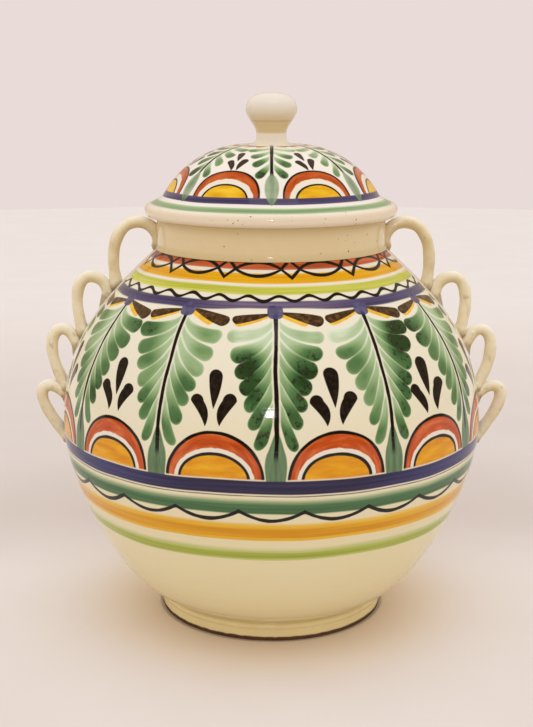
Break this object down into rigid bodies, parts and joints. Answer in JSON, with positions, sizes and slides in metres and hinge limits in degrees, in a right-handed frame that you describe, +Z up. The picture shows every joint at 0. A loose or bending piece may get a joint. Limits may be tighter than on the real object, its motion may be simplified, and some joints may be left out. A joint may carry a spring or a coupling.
{
  "type": "lidded pottery jar",
  "caption": "Round-bellied lidded pottery jar with a foot ring, straight neck, domed knob lid and a chain of small coil loops down each side.",
  "frame": {"origin": "on the jar's axis, in the plane that the foot ring stands on", "axes": "+Z up along the jar's axis, +X towards the right-hand handles as seen from the painted front, which faces -Y"},
  "size_m": [0.3122, 0.2746, 0.34],
  "materials": {
    "painted_glaze": "ivory tin glaze painted with green fronds, orange and yellow arches and coloured bands",
    "lid_glaze": "ivory tin glaze painted with green fronds and orange and yellow arches",
    "ivory_glaze": "plain glossy ivory glaze",
    "handle_glaze": "glossy ivory glaze with thin olive and brown streaks",
    "foot_clay": "thinly glazed clay, bare where it rests"
  },
  "bodies": {
    "jar": {"foot_ring": "foot_clay", "jar_body": "painted_glaze", "jar_shoulder": "painted_glaze", "neck_collar": "ivory_glaze", "handle_right_1": "handle_glaze", "handle_right_2": "handle_glaze", "handle_right_3": "handle_glaze", "handle_right_4": "handle_glaze", "handle_left_1": "handle_glaze", "handle_left_2": "handle_glaze", "handle_left_3": "handle_glaze", "handle_left_4": "handle_glaze"},
    "lid": {"lid_dome": "lid_glaze", "lid_flange": "foot_clay", "lid_knob": "ivory_glaze"}
  },
  "joints": [
    {"name": "lid_lift", "type": "slide", "parent": "jar", "child": "lid", "axis": [0, 0, 1], "range_m": [0, 0.1]}
  ]
}
